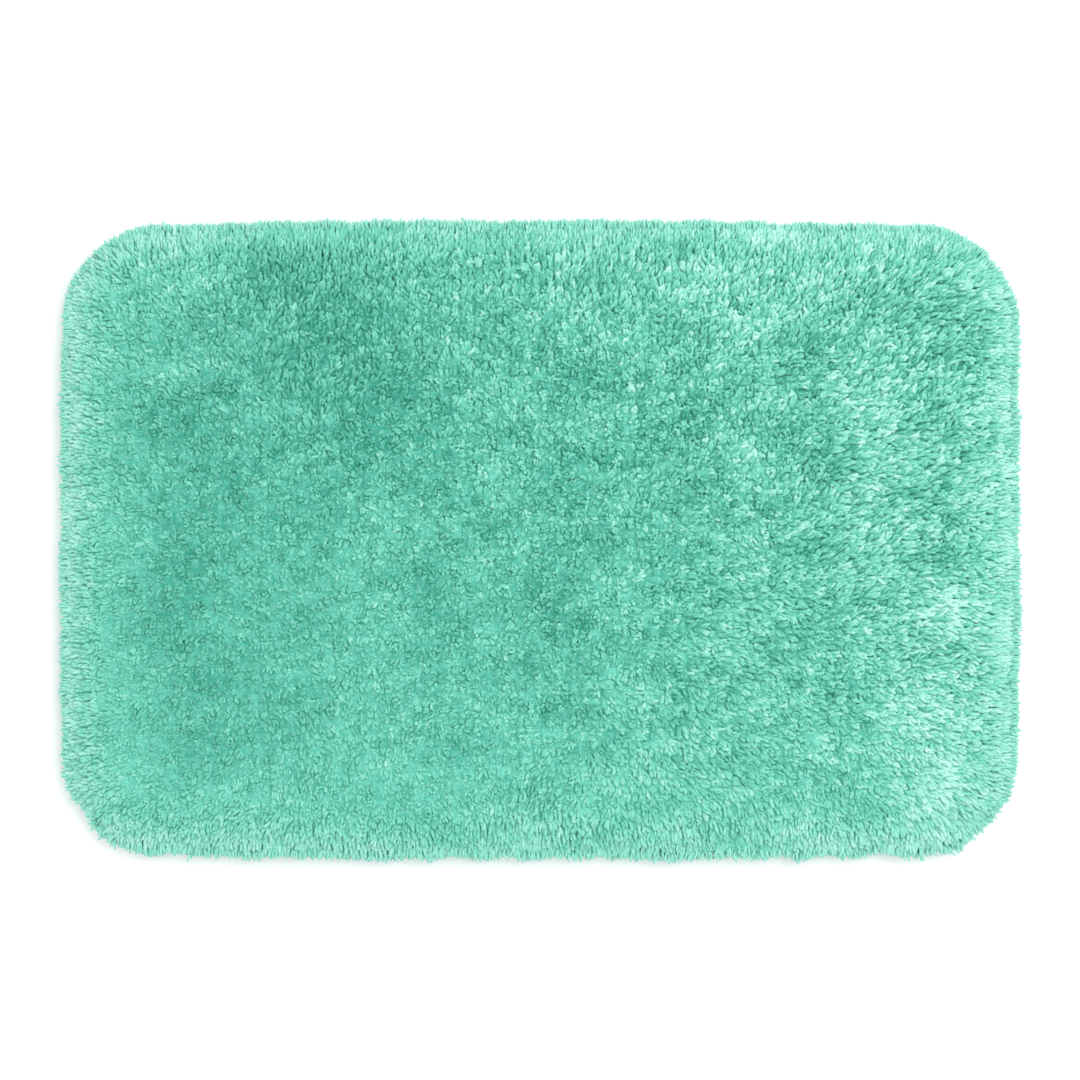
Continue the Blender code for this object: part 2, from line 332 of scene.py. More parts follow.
def finish(material, colour, roughness, height, relief, gloss=None):
    """A dielectric surface of this colour, with a bump of relief metres from the height, and the
    shader's own gloss or sheen settings."""
    bump = add(material, "Bump", {"Height": height, "Distance": relief, "Strength": 1.0})
    sockets = {"Base Color": colour, "Roughness": roughness, "IOR": 1.5, "Normal": bump}
    surface = add(material, "BsdfPrincipled", {**sockets, **(gloss or {})})
    add(material, "OutputMaterial", {"Surface": surface})
    return material


# ---------------------------------------------------------------- materials

# The yarn's greens: painted shade deep in the pile, the dye's own green, and a pale painted highlight at
# a glossy tip
YARN_GREENS_SHADED_TO_LIT = [(0.0, "3AA089"), (0.5, "73D0BA"), (1.0, "B9EEE1")]


def plush_yarn():
    """Dyed microfibre polyester yarn, cut: soft, slightly lustrous, its fibres showing as a fine fleck.
    Its colour holds painted shade, deeper, where it stands up, and a painted highlight, paler and less
    coloured, where it lies over."""
    made = new_material("plush_microfibre_yarn")
    place = add(made, "TexCoord", out="Object")
    shade_and_tone = add(made, "Attribute", out="Fac", attribute_name="shade_and_tone")
    fibres = {"Vector": place, "Scale": scale_of(0.0009), "Roughness": 0.6}
    fibres = add(made, "TexNoise", fibres, out="Fac")
    body = add(made, "ValToRGB", {0: mixed(made, shade_and_tone, fibres, 0.5, -0.5)}, stops=YARN_GREENS_SHADED_TO_LIT)
    gloss = {"Sheen Weight": 0.15, "Sheen Roughness": 0.4, "Sheen Tint": linear("D8FFF2")}
    return finish(made, body, 0.42, fibres, 0.0003, gloss)


def loose_fibre():
    """The same fibre as a loose mass between the yarn ends: matt, mottled, with a fine nap; its colour
    follows the tufts' over it, darker by a painted shade.
    """
    made = new_material("loose_microfibre")
    place = add(made, "TexCoord", out="Object")
    shade_and_tone = add(made, "Attribute", out="Fac", attribute_name="shade_and_tone")
    mottle = {"Vector": place, "Scale": scale_of(0.0030), "Detail": 4.0, "Roughness": 0.6}
    mottle = add(made, "TexNoise", mottle, out="Fac")
    nap = add(made, "TexNoise", {"Vector": place, "Scale": scale_of(0.0012), "Detail": 3.0}, out="Fac")
    body = add(made, "ValToRGB", {0: mixed(made, shade_and_tone, mottle, 1.2, -0.5)}, stops=YARN_GREENS_SHADED_TO_LIT)
    return finish(made, body, 0.9, nap, 0.0006)


def woven_backing_cloth():
    """Plain-woven flat polypropylene tapes, 1.2 mm wide, left in a pale mint: every crossing shows
    as a small raised tile, by turns along and across. What the eye gets is a fine basket texture
    with hardly any gloss."""
    pair_of_tapes = 0.0024
    made = new_material("woven_polypropylene_cloth")
    place = add(made, "TexCoord", out="Object")
    warp = ribs(made, add(made, "SeparateXYZ", {0: place}, out="X"), pair_of_tapes)
    weft = ribs(made, add(made, "SeparateXYZ", {0: place}, out="Y"), pair_of_tapes)
    basket = add(made, "Math", {0: warp, 1: weft}, operation="MULTIPLY")
    grain = add(made, "TexNoise", {"Vector": place, "Scale": scale_of(0.0004)}, out="Fac")
    cloud = add(made, "TexNoise", {"Vector": place, "Scale": scale_of(0.010), "Detail": 3.0}, out="Fac")
    greens = [(0.25, "BBD3CA"), (0.55, "CFE3DC"), (0.85, "DDEEE8")]
    body = add(made, "ValToRGB", {0: mixed(made, cloud, basket, 0.25)}, stops=greens)
    return finish(made, body, 0.55, mixed(made, basket, grain, 0.4), 0.00012)


def cured_latex():
    """Filled latex spread by a blade and cured: a dull cream skin, slightly clouded, with a faint
    drag along the mat and the dimples of burst froth."""
    made = new_material("cured_latex_coat")
    place = add(made, "TexCoord", out="Object")
    along = add(made, "Mapping", {"Vector": place, "Scale": (0.15, 1.0, 1.0)})
    drag = add(made, "TexNoise", {"Vector": along, "Scale": scale_of(0.0020)}, out="Fac")
    bubbles_to_a_metre = 260.0
    froth = add(made, "TexVoronoi", {"Vector": place, "Scale": bubbles_to_a_metre}, out="Distance")
    cloud = add(made, "TexNoise", {"Vector": place, "Scale": scale_of(0.020), "Detail": 4.0}, out="Fac")
    creams = [(0.3, "DDD8C6"), (0.55, "E9E6D8"), (0.8, "F1EFE4")]
    body = add(made, "ValToRGB", {0: cloud}, stops=creams)
    return finish(made, body, 0.62, mixed(made, drag, froth, 1.5), 0.00010)


def moulded_rubber():
    """Soft thermoplastic rubber, pressed with round grip dots: pale mint, between matt and satin,
    with the fine grain of the roller and slight clouding, and a deeper mint where the dots stand."""
    made = new_material("thermoplastic_rubber_grip")
    place = add(made, "TexCoord", out="Object")
    height = add(made, "SeparateXYZ", {0: place}, out="Z")
    on_a_dot = DOT_HEIGHT - 0.0001
    dots = add(made, "Math", {0: height, 1: on_a_dot}, operation="LESS_THAN")
    cloud = add(made, "TexNoise", {"Vector": place, "Scale": scale_of(0.015), "Detail": 4.0}, out="Fac")
    grain = add(made, "TexNoise", {"Vector": place, "Scale": scale_of(0.0005)}, out="Fac")
    mints = [(0.0, "9CCFBF"), (0.35, "CFE2DB"), (0.55, "DDEBE6"), (0.8, "E6F2EE")]
    body = add(made, "ValToRGB", {0: mixed(made, cloud, dots, -0.45)}, stops=mints)
    return finish(made, body, 0.48, grain, 0.00005)


def ribbed_tape():
    """Narrow polyester tape in the pile's green: weft ribs across the tape every 0.9 mm (a real
    tape has them every 0.5 mm, too fine to show) and fainter warp lines along it."""
    made = new_material("woven_polyester_tape")
    run = add(made, "UVMap", uv_map="cloth")
    ribbed = ribs(made, add(made, "SeparateXYZ", {0: run}, out="X"), 0.0009)
    lines = ribs(made, add(made, "SeparateXYZ", {0: run}, out="Y"), 0.0012)
    height = mixed(made, ribbed, lines, 0.35)
    place = add(made, "TexCoord", out="Object")
    cloud = add(made, "TexNoise", {"Vector": place, "Scale": scale_of(0.008), "Detail": 3.0}, out="Fac")
    greens = [(0.2, "5BB29B"), (0.55, "6FC3AD"), (0.9, "84D0BC")]
    body = add(made, "ValToRGB", {0: mixed(made, cloud, height, 0.18)}, stops=greens)
    return finish(made, body, 0.62, height, 0.00008, {"Sheen Weight": 0.12})


def twisted_thread():
    """Two-ply polyester sewing thread: slanting plies every 0.8 mm, a little brighter than the tape
    and with a soft shine."""
    twist = 0.0008
    made = new_material("twisted_polyester_thread")
    run = add(made, "UVMap", uv_map="cloth")
    along = add(made, "SeparateXYZ", {0: run}, out="X")
    around = add(made, "SeparateXYZ", {0: run}, out="Y")
    plies = ribs(made, mixed(made, along, around, twist), twist)
    shade = add(made, "Math", {0: plies, 1: 0.4, 2: 0.5}, operation="MULTIPLY_ADD")
    body = add(made, "ValToRGB", {0: shade}, stops=[(0.1, "6FC4AE"), (0.8, "98E0CE")])
    return finish(made, body, 0.38, plies, 0.00006, {"Sheen Weight": 0.10})


def satin_ribbon():
    """Blank satin-woven label ribbon: near-white, smooth, with a silky shine along its length and
    the faint lines of its weave (a real one's are finer than can be seen)."""
    made = new_material("white_satin_ribbon")
    run = add(made, "UVMap", uv_map="cloth")
    warp = ribs(made, add(made, "SeparateXYZ", {0: run}, out="X"), 0.0011)
    weft = ribs(made, add(made, "SeparateXYZ", {0: run}, out="Y"), 0.0007)
    place = add(made, "TexCoord", out="Object")
    cloud = add(made, "TexNoise", {"Vector": place, "Scale": scale_of(0.006), "Detail": 3.0}, out="Fac")
    whites = [(0.3, "E9ECE8"), (0.6, "F2F4F1"), (0.8, "F8F9F7")]
    body = add(made, "ValToRGB", {0: cloud}, stops=whites)
    return finish(made, body, 0.32, mixed(made, weft, warp, 1.0), 0.00003, {"Anisotropic": 0.5})


def white_floor():
    """A matt white sweep of paper."""
    made = new_material("white_paper_floor")
    paper = add(made, "BsdfPrincipled", {"Base Color": linear("FDFDFD"), "Roughness": 0.9})
    add(made, "OutputMaterial", {"Surface": paper})
    return made


# ---------------------------------------------------------------- meshes and pieces


def mesh_of(name, points, faces):
    """A mesh from arrays of points and of triangles."""
    mesh = bpy.data.meshes.new(name)
    mesh.vertices.add(len(points))
    mesh.vertices.foreach_set("co", points.astype(np.float32).ravel())
    mesh.loops.add(faces.size)
    mesh.loops.foreach_set("vertex_index", faces.astype(np.int32).ravel())
    mesh.polygons.add(len(faces))
    mesh.polygons.foreach_set("loop_start", np.arange(len(faces), dtype=np.int32) * 3)
    mesh.update(calc_edges=True)
    return mesh


def link(name, mesh, material, node):
    """A finished piece in the scene: it rides on the mat's one body, takes the material it is given
    and stands for the CAD node, which it hides."""
    piece = bpy.data.objects.new(name, mesh)
    mesh.materials.append(material)
    bpy.context.scene.collection.objects.link(piece)
    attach(piece, "root")
    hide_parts(node)
    return piece


# ---------------------------------------------------------------- the pile

TUFT_SIDES = 4
SHOWN_FROM = 0.50  # a tuft is built from this share of its length: below it, loose fibre hides it
SEEN_AT = 0.85  # the share of its length at which a tuft stands over its point of the even grid
RING_PLACES = np.array([SHOWN_FROM, 0.74, 0.93])  # shares of a tuft's length, before its tip
RING_WIDTHS = np.array([0.85, 1.00, 0.82])
# Painted shade and painted highlight along a tuft, at each ring and at its tip: darker deep in the
# pile, where it lies in shade, and paler at the tip
PAINTED_SHADE_ALONG = np.array([-0.30, -0.12, 0.05, 0.10])
CRIMP_WAVES = 1.7  # in a tuft's length
LOWEST_YARN = 0.0006
SPOT_JITTER = 0.42  # of the tufts' spacing
SPOTS_PAST_EDGE = 0.0040
CORNER_TRIM = 0.0040  # how much less the pile reaches out at the corners
LOCK_SIZE = 0.0068

# The top pile: a tuft's angle from upright at its root and its tip, in degrees, where it stands, and
# what a full lean adds to it; and the least and most length of a tuft
ROOT_STANDS, ROOT_LEANS = 4, 12
TIP_STANDS, TIP_LEANS, TIP_AT_RIM = 30, 56, 14
TUFT_LENGTHS = (0.020, 0.036)
# How far a lock of yarn and a single tuft stray from the comb's lean, and differ in shade
LOCK_STRAY, TUFT_STRAY = 0.13, 0.20
LOCK_SHADE, TUFT_SHADE = 0.15, 0.13

# The fringe, each pair from its lowest row to its highest
FRINGE_ROWS = 7
FRINGE_SPACING = 0.70 * TUFT_SPACING
FRINGE_LENGTH = 0.022
FRINGE_ROOT_ANGLES = (52, 22)
FRINGE_TIP_ANGLES = (146, 90)
FRINGE_FEET = (0.0030, 0.0104)
FRINGE_TUCK = 0.0022  # how much less the lowest row reaches out than the highest
FRINGE_TIP = 0.0008  # what the tips may gain on the outline that they wave about
FRINGE_BASE = 0.0050  # from the cut edge to where a tuft is placed before it is moved to its reach


def corner_share(out):
    """0 on the straight sides, rising to 1 where the edge faces half way between two sides."""
    return (2 * out[:, 0] * out[:, 1]) ** 2


def between(pair, share):
    """The value at this share of the way from the pair's first to its second."""
    return pair[0] + (pair[1] - pair[0]) * share


def pile_spots(draws):
    """The points that the tufts are seen over: a square grid at the tufting pitch, every point moved
    a little, kept as far as a tuft that leans out over the rim may start from."""
    columns = int(cad_high.x * 2 / TUFT_SPACING)
    rows = int(cad_high.y * 2 / TUFT_SPACING)
    x, y = np.meshgrid(
        (np.arange(columns) - (columns - 1) / 2) * TUFT_SPACING,
        (np.arange(rows) - (rows - 1) / 2) * TUFT_SPACING,
    )
    x = x.ravel() + draws.uniform(-SPOT_JITTER, SPOT_JITTER, x.size) * TUFT_SPACING
    y = y.ravel() + draws.uniform(-SPOT_JITTER, SPOT_JITTER, y.size) * TUFT_SPACING
    distance, out = edge_distance(x, y)
    keep = distance < SPOTS_PAST_EDGE - CORNER_TRIM * corner_share(out)
    return x[keep], y[keep]


def lock_of(x, y, size, draws):
    """The number of the lock of yarn that each tuft belongs to, the lock's centre, and how many
    numbers there are: a tuft joins the nearest of points scattered one to a square cell."""
    cell_x, cell_y = np.floor(x / size).astype(int), np.floor(y / size).astype(int)
    low_x, low_y = cell_x.min() - 1, cell_y.min() - 1
    shape = (cell_x.max() - low_x + 2, cell_y.max() - low_y + 2)
    jitter = draws.uniform(0.1, 0.9, (*shape, 2))
    best = np.full(x.size, np.inf)
    number = np.zeros(x.size, int)
    centre = np.zeros((x.size, 2))
    for step_x in (-1, 0, 1):
        for step_y in (-1, 0, 1):
            at_x, at_y = cell_x - low_x + step_x, cell_y - low_y + step_y
            spot = jitter[at_x, at_y]
            spot_x = (at_x + low_x + spot[:, 0]) * size
            spot_y = (at_y + low_y + spot[:, 1]) * size
            away = (spot_x - x) ** 2 + (spot_y - y) ** 2
            nearer = away < best
            best[nearer] = away[nearer]
            number[nearer] = (at_x * shape[1] + at_y)[nearer]
            centre[nearer] = np.stack([spot_x, spot_y], axis=1)[nearer]
    return number, centre, shape[0] * shape[1]


def tuft_lines(spot, lean, root_angle, tip_angle, length, foot, draws):
    """The centrelines of tufts from SHOWN_FROM to the tip, and the yarn's angle from upright at each
    point. A centreline is an arc: it leaves its foot at the root angle and bends evenly to the tip
    angle, in the upright plane of its heading, so that its run outwards is
    length * (cos root - cos tip) / (tip - root) and its rise is length * (sin tip - sin root) /
    (tip - root), each taken up to the point's share. It is moved back so that it stands over its
    spot at SEEN_AT, and a small wave, the yarn's crimp, is added to it sideways and upwards."""
    count = len(spot)
    share = np.append(RING_PLACES, 1.0)
    bend = (tip_angle - root_angle)[:, None]
    start = root_angle[:, None]
    angle = start + bend * share
    seen = start + bend * SEEN_AT
    outwards = length[:, None] * (np.cos(seen) - np.cos(angle)) / bend
    upwards = length[:, None] * (np.sin(angle) - np.sin(start)) / bend
    ahead = lean / (np.linalg.norm(lean, axis=1, keepdims=True) + 1e-9)
    aside = np.stack([-ahead[:, 1], ahead[:, 0]], axis=1)
    crimp = draws.uniform(0, 2 * np.pi, (2, count, 1)) + 2 * np.pi * CRIMP_WAVES * share
    line = np.zeros((count, share.size, 3))
    line[..., :2] = spot[:, None] + outwards[..., None] * ahead[:, None]
    line[..., :2] += (YARN_CRIMP * np.sin(crimp[0]))[..., None] * aside[:, None]
    line[..., 2] = foot[:, None] + upwards + 0.7 * YARN_CRIMP * np.sin(crimp[1])
    return line, angle, ahead, aside


def tuft_skin(line, angle, ahead, aside, width, draws):
    """Every tuft's rings and tip: a four-sided section of the tuft's width, square to its line."""
    count, rings = len(line), RING_PLACES.size
    turn = draws.uniform(0, 2 * np.pi, count)[:, None] + np.arange(TUFT_SIDES) * 2 * np.pi / TUFT_SIDES
    across = np.zeros((count, 1, 1, 3))
    across[:, 0, 0, :2] = aside
    facing = np.zeros((count, rings, 1, 3))
    facing[:, :, 0, :2] = -np.cos(angle[:, :rings])[..., None] * ahead[:, None]
    facing[:, :, 0, 2] = np.sin(angle[:, :rings])
    radius = (width[:, None] * RING_WIDTHS)[:, :, None, None]
    skin = line[:, :rings, None] + radius * (
        np.cos(turn)[:, None, :, None] * across + np.sin(turn)[:, None, :, None] * facing
    )
    points = np.concatenate([skin.reshape(count, -1, 3), line[:, -1:]], axis=1)
    points[..., 2] = np.maximum(points[..., 2], LOWEST_YARN)
    return bowed(points)


def top_tufts(draws):
    """The pile as seen from above. The yarn stands over an even grid of spots; it leans as the comb
    field says, more or less from tuft to tuft; the tufts of a lock are drawn together towards their
    tips, share its height, and are a little paler or deeper together. Gives the tufts' points, each
    tuft's colour value with the comb's painted light and a painted highlight on the rim, how strongly
    the painted shade along it is laid on, and their centrelines."""
    x, y = pile_spots(draws)
    count = x.size
    lean, rim, shade = comb_field(x, y, draws)
    lock, centre, locks = lock_of(x, y, LOCK_SIZE, draws)
    firm = crispness(x, y)
    lean += draws.normal(0, LOCK_STRAY, (locks, 2))[lock] * (1 - 0.7 * rim[:, None])
    lean += draws.normal(0, TUFT_STRAY, (count, 2)) * (1 - 0.6 * rim[:, None])
    amount = np.clip(np.linalg.norm(lean, axis=1), 0, 1.1)
    root_angle = np.radians(ROOT_STANDS + ROOT_LEANS * amount)
    tip_angle = np.radians(TIP_STANDS + TIP_LEANS * amount + TIP_AT_RIM * rim)
    bend = tip_angle - root_angle
    rise = (np.sin(tip_angle) - np.sin(root_angle)) / bend
    uneven = 0.04 * ripple(x, y, 0.09, draws) + 0.03 * ripple(x, y, 0.016, draws)
    uneven += (0.3 + 0.7 * firm) * draws.normal(0, 0.050, locks)[lock]
    height = PILE_DEPTH * (0.94 + uneven + 0.02 * draws.normal(0, 1, count))
    length = np.clip(height / np.maximum(rise, 0.2), *TUFT_LENGTHS)
    length *= 1 - 0.10 * rim
    spot = np.stack([x, y], axis=1)
    line, angle, ahead, aside = tuft_lines(
        spot, lean, root_angle, tip_angle, length, np.full(count, CLOTH_TOP), draws
    )
    gather = np.append(RING_PLACES, 1.0) - SHOWN_FROM
    line[..., :2] += 0.9 * gather[:, None] * ((centre - spot) * (1 - rim[:, None]))[:, None]
    width = YARN_RADIUS * draws.uniform(0.85, 1.15, count)
    points = tuft_skin(line, angle, ahead, aside, width, draws)
    vary = (0.25 + 0.75 * firm) * (1 - 0.7 * rim)
    # Painted highlight on the rim, paler than the rest, and at the left and right ends of the mat the
    # most
    sides = 0.14 * np.clip(-4 * x - 0.6, 0, 1) + 0.09 * np.clip(4 * x - 0.6, 0, 1)
    shade_and_tone = 0.41 + shade + (0.10 + sides) * rim
    shade_and_tone += vary * (draws.normal(0, LOCK_SHADE, locks)[lock] + draws.normal(0, TUFT_SHADE, count))
    return points, shade_and_tone, (0.3 + 0.7 * firm) * (1 - 0.8 * rim), bowed(line)


def fringe_tufts(draws):
    """The pile round the rim, in rows one above the other: each tuft leans straight out from the
    edge and droops, the lowest row the most, and ends at the pile's outline, which waves a little."""
    around = int(EDGE_LENGTH / FRINGE_SPACING)
    edge, out = edge_walk((np.arange(around) + 0.5) / around)
    spot = np.tile(edge + FRINGE_BASE * out, (FRINGE_ROWS, 1))
    out = np.tile(out, (FRINGE_ROWS, 1))
    count = len(spot)
    row = np.repeat(np.arange(FRINGE_ROWS), around) + draws.uniform(-0.5, 0.5, count)
    level = row / (FRINGE_ROWS - 1)
    aside = np.stack([-out[:, 1], out[:, 0]], axis=1)
    spot = spot + aside * draws.uniform(-0.5, 0.5, (count, 1)) * TUFT_SPACING
    lean = out + aside * draws.normal(0, 0.16, (count, 1))
    root_angle = np.radians(between(FRINGE_ROOT_ANGLES, level) + draws.normal(0, 5, count))
    tip_angle = np.radians(between(FRINGE_TIP_ANGLES, level) + draws.normal(0, 7, count))
    length = np.full(count, FRINGE_LENGTH)
    run = length / (tip_angle - root_angle) * (
        np.cos(root_angle + (tip_angle - root_angle) * SEEN_AT) - np.cos(tip_angle)
    )
    front = spot[:, 1] < -0.2  # brushed forward, and so less even than the other sides
    wave = np.where(front, 0.0026, 0.0016) * ripple(spot[:, 0], spot[:, 1], 0.060, draws)
    wave += np.where(front, 0.0016, 0.0009) * draws.normal(0, 1, count)
    reach = PILE_OVERHANG - FRINGE_TIP + wave - FRINGE_TUCK * (1 - level) - FRINGE_BASE - run
    reach -= CORNER_TRIM * corner_share(out)
    spot = spot + out * reach[:, None]
    line, angle, ahead, aside = tuft_lines(
        spot, lean, root_angle, tip_angle, length, between(FRINGE_FEET, level), draws
    )
    width = YARN_RADIUS * draws.uniform(0.48, 0.80, count)
    points = tuft_skin(line, angle, ahead, aside, width, draws)
    # The fringe's paler colour value is a painted highlight on the rim; the rest differs at random
    shade_and_tone = 0.66 + draws.normal(0, 0.03, count)
    return points, shade_and_tone, np.full(count, 0.15)


def tuft_shell():
    """One tuft's faces, and where each face's corners lie on the tuft's own square of the map, with
    u round the yarn and v from its root to its tip: four-sided walls ring by ring, the tip, and the
    flat root."""
    rises = np.append((RING_PLACES - SHOWN_FROM) / (1 - SHOWN_FROM), 1.0)
    faces, places = [], []
    for ring in range(RING_PLACES.size):
        low, high = rises[ring], rises[ring + 1]
        for side in range(TUFT_SIDES):
            a, b = ring * TUFT_SIDES + side, ring * TUFT_SIDES + (side + 1) % TUFT_SIDES
            left, right = side / TUFT_SIDES, (side + 1) / TUFT_SIDES
            if ring + 1 < RING_PLACES.size:
                faces += [[a, b, b + TUFT_SIDES], [a, b + TUFT_SIDES, a + TUFT_SIDES]]
                places += [(left, low), (right, low), (right, high)]
                places += [(left, low), (right, high), (left, high)]
            else:
                faces.append([a, b, RING_PLACES.size * TUFT_SIDES])
                places += [(left, low), (right, low), ((left + right) / 2, high)]
    faces += [[0, 2, 1], [0, 3, 2]]
    places += [(0.0, 0.0), (0.2, 0.0), (0.1, 0.02)] * 2
    return np.array(faces), np.array(places)


def map_tufts(mesh, count, places):
    """A map of equal squares, one for each tuft, with a margin round what each tuft takes up."""
    cells = int(np.ceil(np.sqrt(count)))
    cell = np.stack([np.arange(count) % cells, np.arange(count) // cells], axis=1)[:, None]
    uv = (cell + 0.15 + 0.7 * places) / cells
    mesh.uv_layers.new(name="OFBake").data.foreach_set("uv", uv.astype(np.float32).ravel())


def make_pile(material):
    """The tufts, cut into bands along the mat's length, each band one piece; also the top tufts'
    centrelines and tones, which the loose fibre between them follows."""
    draws = np.random.default_rng(SEED)
    top_points, top_tone, top_fade, line = top_tufts(draws)
    rim_points, rim_tone, rim_fade = fringe_tufts(draws)
    points = np.concatenate([top_points, rim_points])
    shade_and_tone = np.concatenate([top_tone, rim_tone])
    fade = np.concatenate([top_fade, rim_fade])
    faces, places = tuft_shell()
    bands = int(np.ceil(len(points) * len(faces) / MOST_TRIANGLES))
    order = np.argsort(points[:, -1, 0], kind="stable")
    along = np.append(np.repeat(PAINTED_SHADE_ALONG[:-1], TUFT_SIDES), PAINTED_SHADE_ALONG[-1])
    pieces = []
    for number, chosen in enumerate(np.array_split(order, bands), 1):
        corners = points[chosen]
        starts = (np.arange(len(chosen)) * corners.shape[1])[:, None, None]
        triangles = (faces + starts).reshape(-1, 3)
        mesh = mesh_of(f"pile_band_{number:02d}", corners.reshape(-1, 3), triangles)
        # Each tuft's colour value, with painted shade towards its root and a painted highlight at its
        # tip
        values = np.clip(shade_and_tone[chosen, None] + fade[chosen, None] * along, 0, 1)
        layer = mesh.attributes.new("shade_and_tone", "FLOAT", "POINT")
        layer.data.foreach_set("value", values.astype(np.float32).ravel())
        map_tufts(mesh, len(chosen), places)
        mesh.shade_smooth()
        pieces.append(link(mesh.name, mesh, material, "pile"))
    return pieces, line, top_tone


# The fibre mass at the rim, clear of the tape: (offset from the cut edge, height)
RIM_PROFILE = [
    (-0.0125, 0.0052),
    (-0.0115, 0.0068),
    (-0.0020, 0.0070),
    (0.0014, 0.0062),
    (0.0023, 0.0075),
    (0.0027, 0.0095),
    (0.0021, 0.0120),
    (0.0000, 0.0138),
]
TOP_RING_INSETS = (0.003, 0.009, 0.015, 0.022, 0.030)  # of the rings over the rim
MIDDLE_RINGS = np.linspace(0.98, 0.02, 50)  # the rings within those, as shares of the last one
GRID_CELL = 0.006
BELOW_TIPS = 0.0036
# How much painted shade darkens the loose fibre below the tufts' colour
PILE_DEPTH_PAINTED_SHADE = 0.12


def tuft_grid(line, values, smoothing):
    """The mean of the tufts' values over each cell of a square grid, each tuft counted where it
    stands at its second ring, then smoothed with its neighbours the given number of times."""
    span = (int(cad_high.x / GRID_CELL) + 2, int(cad_high.y / GRID_CELL) + 2)
    shape = (2 * span[0] + 1, 2 * span[1] + 1)
    cell_x = np.rint(line[:, 1, 0] / GRID_CELL).astype(int) + span[0]
    cell_y = np.rint(line[:, 1, 1] / GRID_CELL).astype(int) + span[1]
    cell = cell_x * shape[1] + cell_y
    size = shape[0] * shape[1]
    sums = np.bincount(cell, values, size).reshape(shape)
    counts = np.bincount(cell, minlength=size).reshape(shape).astype(float)
    for _ in range(smoothing):
        for axis in (0, 1):
            sums = sums + np.roll(sums, 1, axis) + np.roll(sums, -1, axis)
            counts = counts + np.roll(counts, 1, axis) + np.roll(counts, -1, axis)
    return sums / np.maximum(counts, 1e-9), span


def grid_at(x, y, grid, span):
    """The grid's value at each point, blended between the four nearest cells."""
    at_x, at_y = x / GRID_CELL + span[0], y / GRID_CELL + span[1]
    low_x, low_y = np.floor(at_x).astype(int), np.floor(at_y).astype(int)
    part_x, part_y = at_x - low_x, at_y - low_y
    return (
        grid[low_x, low_y] * (1 - part_x) * (1 - part_y)
        + grid[low_x + 1, low_y] * part_x * (1 - part_y)
        + grid[low_x, low_y + 1] * (1 - part_x) * part_y
        + grid[low_x + 1, low_y + 1] * part_x * part_y
    )


def make_pile_depth(material, line, shade_and_tone):
    """The mass of loose fibre deep in the pile, between the yarn ends: the edge line at each step
    of the rim's profile, then rings drawn in towards the middle at the level of the tufts' tips
    less a set depth, raised and lowered by smooth waves; closed underneath by a flat fan."""
    draws = np.random.default_rng(SEED + 1)
    level, span = tuft_grid(line, line[:, -1, 2], 3)
    tones, _ = tuft_grid(line, shade_and_tone, 1)
    around = EDGE_POINTS
    loops = []
    edge, out = edge_walk((np.arange(around) + 0.5) / around)
    trim = CORNER_TRIM * corner_share(out)[:, None]
    for offset, height in RIM_PROFILE:
        reach = offset - trim * (offset > RIM_PROFILE[1][0])
        loops.append(np.column_stack([bowed(edge + reach * out), np.full(around, height)]))
    for inset in TOP_RING_INSETS:
        loops.append(np.column_stack([bowed(edge - (inset + trim) * out), np.zeros(around)]))
    inner = loops[-1]
    for share in MIDDLE_RINGS:
        loops.append(inner * [share, share, 1])
    points = np.concatenate(loops)
    top = np.arange(len(points)) >= len(RIM_PROFILE) * around
    x, y = points[:, 0], points[:, 1]
    wave = 0.0008 * ripple(x, y, 0.012, draws) + 0.0008 * ripple(x, y, 0.03, draws)
    below = BELOW_TIPS * (0.40 + 0.72 * crispness(x, y))
    points[:, 2] = np.where(top, grid_at(x, y, level, span) - below + wave, points[:, 2])
    ring = np.arange(around)
    after = (ring + 1) % around
    starts = np.arange(len(loops) - 1)[:, None] * around
    a, b = starts + ring, starts + after
    c, d = b + around, a + around
    walls = np.stack([np.stack([a, b, c], -1), np.stack([a, c, d], -1)], 2).reshape(-1, 3)
    last = (len(loops) - 1) * around
    middle_top, middle_low = len(points), len(points) + 1
    points = np.concatenate([points, [[0, 0, points[last:, 2].mean()], [0, 0, RIM_PROFILE[0][1]]]])
    cap = np.stack([last + ring, last + after, np.full(around, middle_top)], 1)
    floor = np.stack([after, ring, np.full(around, middle_low)], 1)
    mesh = mesh_of("pile_depth", points, np.concatenate([walls, cap, floor]))
    # The tufts' colour values over the loose fibre, darker by a painted shade
    deep = np.clip(grid_at(points[:, 0], points[:, 1], tones, span) - PILE_DEPTH_PAINTED_SHADE, 0, 1)
    mesh.attributes.new("shade_and_tone", "FLOAT", "POINT").data.foreach_set("value", deep.astype(np.float32))
    mesh.shade_smooth()
    return link("pile_depth", mesh, material, "pile")


# ---------------------------------------------------------------- the layers under the pile


def solid_of(name, points, faces):
    """A mesh from points and faces of any number of corners, every face turned outwards."""
    mesh = bpy.data.meshes.new(name)
    mesh.from_pydata(points.tolist(), [], [list(map(int, face)) for face in faces])
    work = bmesh.new()
    work.from_mesh(mesh)
    bmesh.ops.recalc_face_normals(work, faces=work.faces)
    work.to_mesh(mesh)
    work.free()
    return mesh


def stacked(rings):
    """Rings of points of one length, one above the other, walled together and closed by a flat
    face at the bottom and the top."""
    around = len(rings[0])
    ring = np.arange(around)
    after = (ring + 1) % around
    faces = [ring[::-1], ring + (len(rings) - 1) * around]
    for step in range(len(rings) - 1):
        low, high = step * around, (step + 1) * around
        faces += list(np.stack([low + ring, low + after, high + after, high + ring], axis=1))
    return np.concatenate(rings), faces


